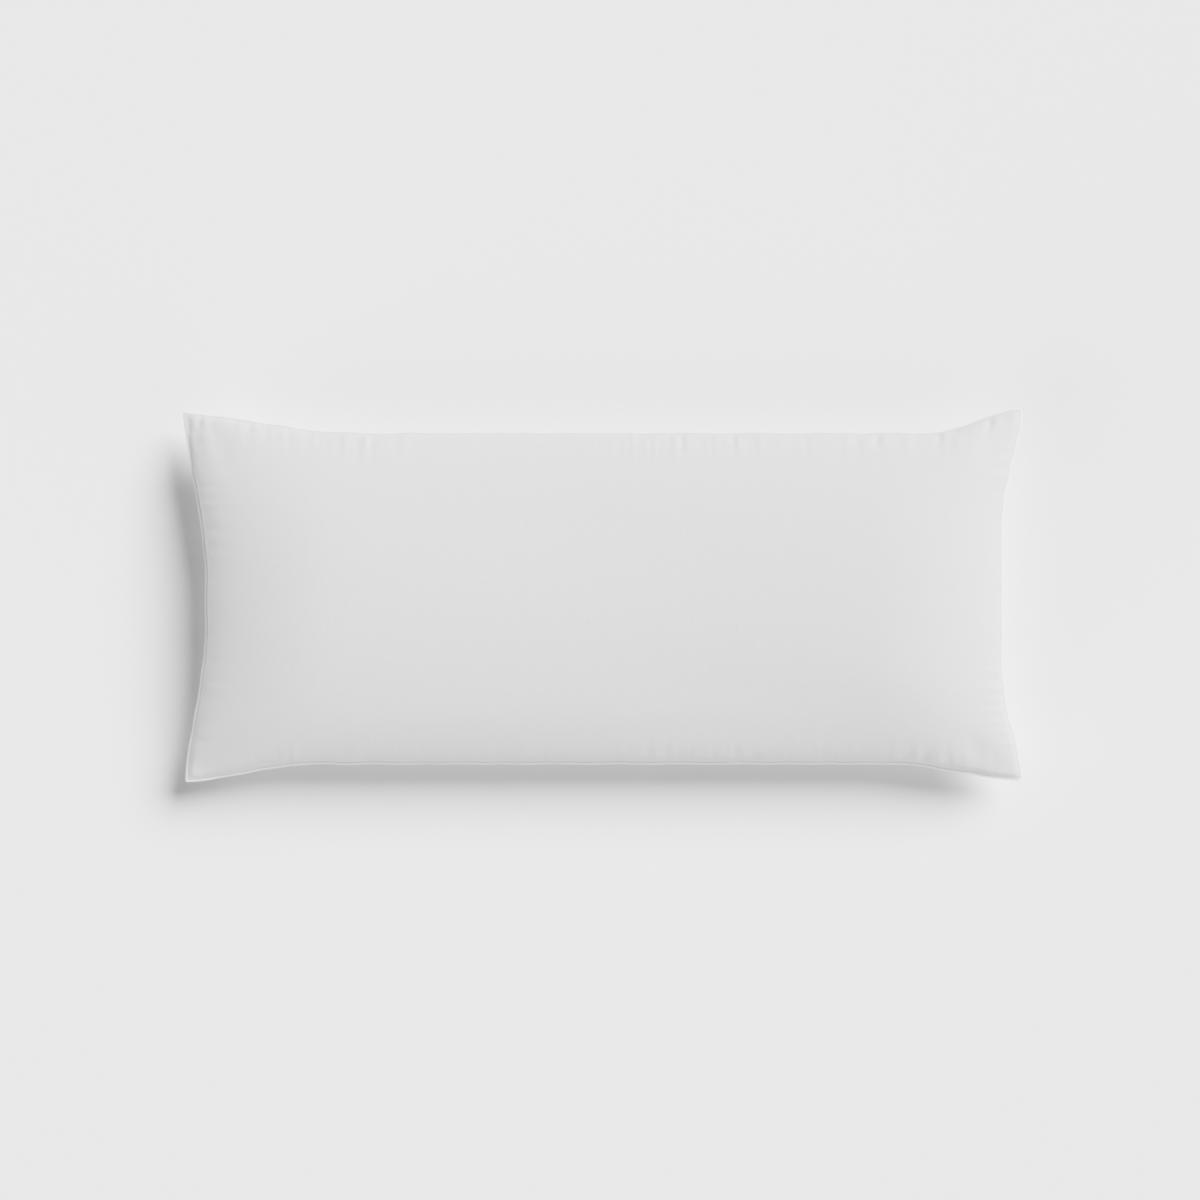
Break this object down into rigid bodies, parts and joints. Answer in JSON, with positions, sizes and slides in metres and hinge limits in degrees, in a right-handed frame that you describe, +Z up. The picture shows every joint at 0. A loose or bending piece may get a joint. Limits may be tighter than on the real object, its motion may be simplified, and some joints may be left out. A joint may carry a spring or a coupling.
{
  "type": "lumbar pillow insert",
  "caption": "Long plump pillow insert in plain white cotton with knife-edge seams, drawn-in sides and pointed corners, lying on its back.",
  "frame": {"origin": "on the surface that the pillow lies on, under the middle of its outline", "axes": "+X along the pillow, to the right in the picture; +Y across it, to the top of the picture; +Z up out of its face"},
  "size_m": [0.6906, 0.3075, 0.097],
  "materials": {
    "cotton": "matt, tightly woven plain cotton"
  },
  "bodies": {
    "root": {"pillow": "cotton"}
  },
  "joints": []
}
